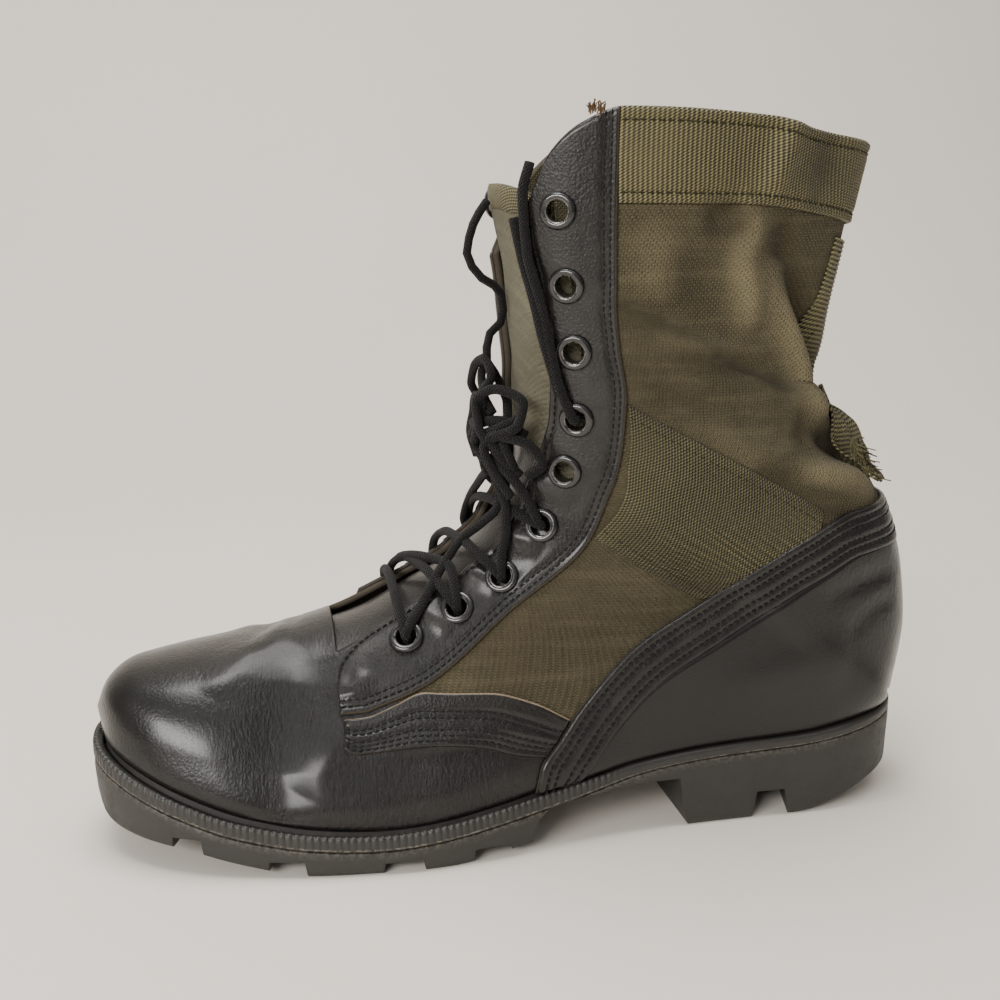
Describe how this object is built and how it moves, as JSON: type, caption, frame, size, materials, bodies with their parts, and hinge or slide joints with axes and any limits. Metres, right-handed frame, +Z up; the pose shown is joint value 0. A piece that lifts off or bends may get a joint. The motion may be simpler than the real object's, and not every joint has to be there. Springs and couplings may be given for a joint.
{
  "type": "jungle boot",
  "caption": "Lace-up jungle boot for a left foot: black leather foot and eyelet facings, olive canvas shaft with webbing reinforcement, moulded rubber sole with chevron lugs.",
  "frame": {"origin": "middle of the whole footprint, on the floor the boot stands on", "axes": "+X points to the heel, the toe is at -X; +Y is the inner (medial) side, -Y the outer side; +Z is up"},
  "size_m": [0.3063, 0.1054, 0.2531],
  "materials": {
    "leather": "polished, creased black leather",
    "canvas": "plain-woven olive drab duck canvas",
    "webbing": "ribbed olive webbing",
    "rubber": "moulded matt black rubber",
    "insole": "woven inner sole",
    "eyelet": "black enamel worn bright at the rim",
    "lace": "braided black cotton"
  },
  "bodies": {
    "root": {"ankle_webbing_lateral": "webbing", "ankle_webbing_medial": "webbing", "backstay": "leather", "collar_band": "webbing", "counter_band": "leather", "eyelet_lateral_1": "eyelet", "eyelet_lateral_2": "eyelet", "eyelet_lateral_3": "eyelet", "eyelet_lateral_4": "eyelet", "eyelet_lateral_5": "eyelet", "eyelet_lateral_6": "eyelet", "eyelet_lateral_7": "eyelet", "eyelet_lateral_8": "eyelet", "eyelet_lateral_9": "eyelet", "eyelet_medial_1": "eyelet", "eyelet_medial_2": "eyelet", "eyelet_medial_3": "eyelet", "eyelet_medial_4": "eyelet", "eyelet_medial_5": "eyelet", "eyelet_medial_6": "eyelet", "eyelet_medial_7": "eyelet", "eyelet_medial_8": "eyelet", "eyelet_medial_9": "eyelet", "facing_lateral": "leather", "facing_medial": "leather", "heel_counter": "leather", "insole": "insole", "lace_bow": "lace", "lace_crossings": "lace", "lace_end": "lace", "outsole": "rubber", "tongue": "canvas", "upper": "leather", "vent_1": "eyelet", "vent_2": "eyelet", "welt": "rubber", "wing_lateral": "leather", "wing_medial": "leather"}
  },
  "joints": []
}
